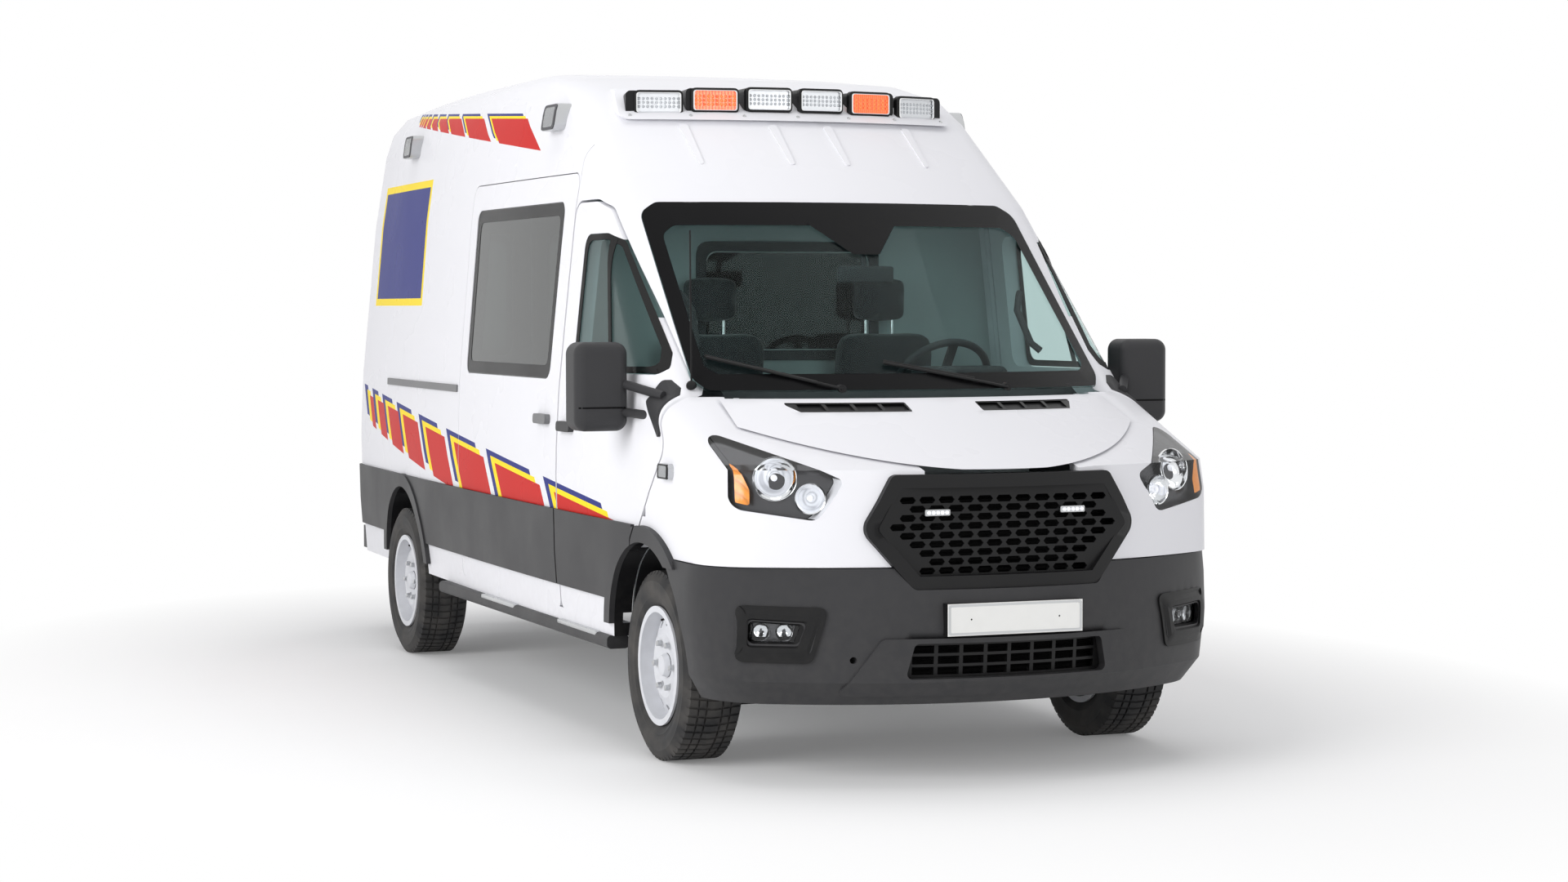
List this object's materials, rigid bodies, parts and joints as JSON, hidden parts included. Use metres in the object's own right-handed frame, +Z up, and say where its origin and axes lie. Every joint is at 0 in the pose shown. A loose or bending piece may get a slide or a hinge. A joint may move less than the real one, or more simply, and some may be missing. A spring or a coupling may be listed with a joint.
{
  "type": "van ambulance",
  "caption": "High-roof panel-van ambulance with hinged cab, rear and hood panels, sliding side door, steered front wheels and roof warning lamps.",
  "frame": {"origin": "on the ground, midway between the front of the number plate and the rear step, on the vehicle's centre plane", "axes": "+X to the vehicle's left, +Y to the rear, +Z up; the front faces -Y"},
  "size_m": [2.474, 5.981, 2.7299],
  "materials": {
    "white_paint": "gloss",
    "dark_plastic": "grained",
    "black_plastic": "satin",
    "clear_glass": "clear",
    "privacy_glass": "tinted",
    "lamp_clear": "clear",
    "lamp_red": "gloss",
    "tyre_rubber": "matte",
    "wheel_paint": "satin",
    "chassis_black": "satin",
    "cast_metal": "cast",
    "cab_plastic": "grained",
    "seat_fabric": "woven",
    "plate_white": "satin",
    "inner_paint": "satin"
  },
  "bodies": {
    "root": {"roof": "white_paint", "cab_frame": "white_paint", "side_walls": "white_paint", "sliding_door": "white_paint", "body_frame": "white_paint", "fenders": "white_paint", "fixed_glass": "privacy_glass", "windscreen": "clear_glass", "front_bumper": "dark_plastic", "grille": "black_plastic", "headlamps": "lamp_clear", "fog_lamps": "lamp_clear", "bumper_trim": "black_plastic", "rear_bumper": "dark_plastic", "tail_lamps": "lamp_red", "number_plates": "plate_white", "body_cladding": "dark_plastic", "slider_fittings": "dark_plastic", "side_steps": "dark_plastic", "front_warning_lamps": "lamp_clear", "side_lamps": "lamp_clear", "front_suspension": "chassis_black", "rear_axle": "chassis_black", "drive_line": "cast_metal", "chassis_rails": "chassis_black", "floor": "inner_paint", "bulkhead": "inner_paint", "dashboard": "cab_plastic", "seats": "seat_fabric", "seat_bases": "cab_plastic", "screen_fittings": "black_plastic"},
    "hood": {"hood": "white_paint", "hood_vents": "black_plastic"},
    "cab_door_left": {"cab_door_left": "white_paint", "cab_glass_left": "clear_glass", "door_trim_left": "dark_plastic", "mirror_left": "dark_plastic"},
    "rear_door_left": {"rear_door_left": "white_paint", "rear_glass_left": "privacy_glass"},
    "knuckle_left": {"knuckle_left": "cast_metal"},
    "wheel_front_left": {"tyre_front_left": "tyre_rubber", "rim_front_left": "wheel_paint"},
    "wheel_rear_left": {"tyre_rear_left": "tyre_rubber", "rim_rear_left": "wheel_paint"},
    "cab_door_right": {"cab_door_right": "white_paint", "cab_glass_right": "clear_glass", "door_trim_right": "dark_plastic", "mirror_right": "dark_plastic"},
    "rear_door_right": {"rear_door_right": "white_paint", "rear_glass_right": "privacy_glass"},
    "knuckle_right": {"knuckle_right": "cast_metal"},
    "wheel_front_right": {"tyre_front_right": "tyre_rubber", "rim_front_right": "wheel_paint"},
    "wheel_rear_right": {"tyre_rear_right": "tyre_rubber", "rim_rear_right": "wheel_paint"},
    "steering_wheel": {"steering_wheel": "cab_plastic"}
  },
  "joints": [
    {"name": "steer_left", "type": "hinge", "parent": "root", "child": "knuckle_left", "pos_m": [0.8, -1.9675, 0.25], "axis": [-0.2555, 0, 0.9668], "range_deg": [-35, 35]},
    {"name": "steer_right", "type": "hinge", "parent": "root", "child": "knuckle_right", "pos_m": [-0.8, -1.9675, 0.25], "axis": [0.2555, 0, 0.9668], "range_deg": [-35, 35]},
    {"name": "steering_wheel_turn", "type": "hinge", "parent": "root", "child": "steering_wheel", "pos_m": [0.375, -1.5355, 1.385], "axis": [0, 0.788, 0.6157], "range_deg": [-490, 490]},
    {"name": "spin_front_left", "type": "hinge", "parent": "knuckle_left", "child": "wheel_front_left", "pos_m": [0.867, -1.9675, 0.352], "axis": [1, 0, 0], "continuous": true},
    {"name": "spin_rear_left", "type": "hinge", "parent": "root", "child": "wheel_rear_left", "pos_m": [0.867, 1.7825, 0.352], "axis": [1, 0, 0], "continuous": true},
    {"name": "open_cab_door_left", "type": "hinge", "parent": "root", "child": "cab_door_left", "pos_m": [1.006, -1.9505, 0.94], "axis": [0, 0, -1], "range_deg": [0, 68]},
    {"name": "open_rear_door_left", "type": "hinge", "parent": "root", "child": "rear_door_left", "pos_m": [0.816, 2.9645, 0.7], "axis": [0, 0, -1], "range_deg": [0, 180]},
    {"name": "spin_front_right", "type": "hinge", "parent": "knuckle_right", "child": "wheel_front_right", "pos_m": [-0.867, -1.9675, 0.352], "axis": [1, 0, 0], "continuous": true},
    {"name": "spin_rear_right", "type": "hinge", "parent": "root", "child": "wheel_rear_right", "pos_m": [-0.867, 1.7825, 0.352], "axis": [1, 0, 0], "continuous": true},
    {"name": "open_cab_door_right", "type": "hinge", "parent": "root", "child": "cab_door_right", "pos_m": [-1.006, -1.9505, 0.94], "axis": [0, 0, 1], "range_deg": [0, 68]},
    {"name": "open_rear_door_right", "type": "hinge", "parent": "root", "child": "rear_door_right", "pos_m": [-0.816, 2.9645, 0.7], "axis": [0, 0, 1], "range_deg": [0, 180]},
    {"name": "open_hood", "type": "hinge", "parent": "root", "child": "hood", "pos_m": [0, -2.0755, 1.325], "axis": [-1, 0, 0], "range_deg": [0, 55]}
  ],
  "couplings": [
    {"joint": "steer_right", "follows": "steer_left", "ratio": 1},
    {"joint": "steering_wheel_turn", "follows": "steer_left", "ratio": 14}
  ]
}
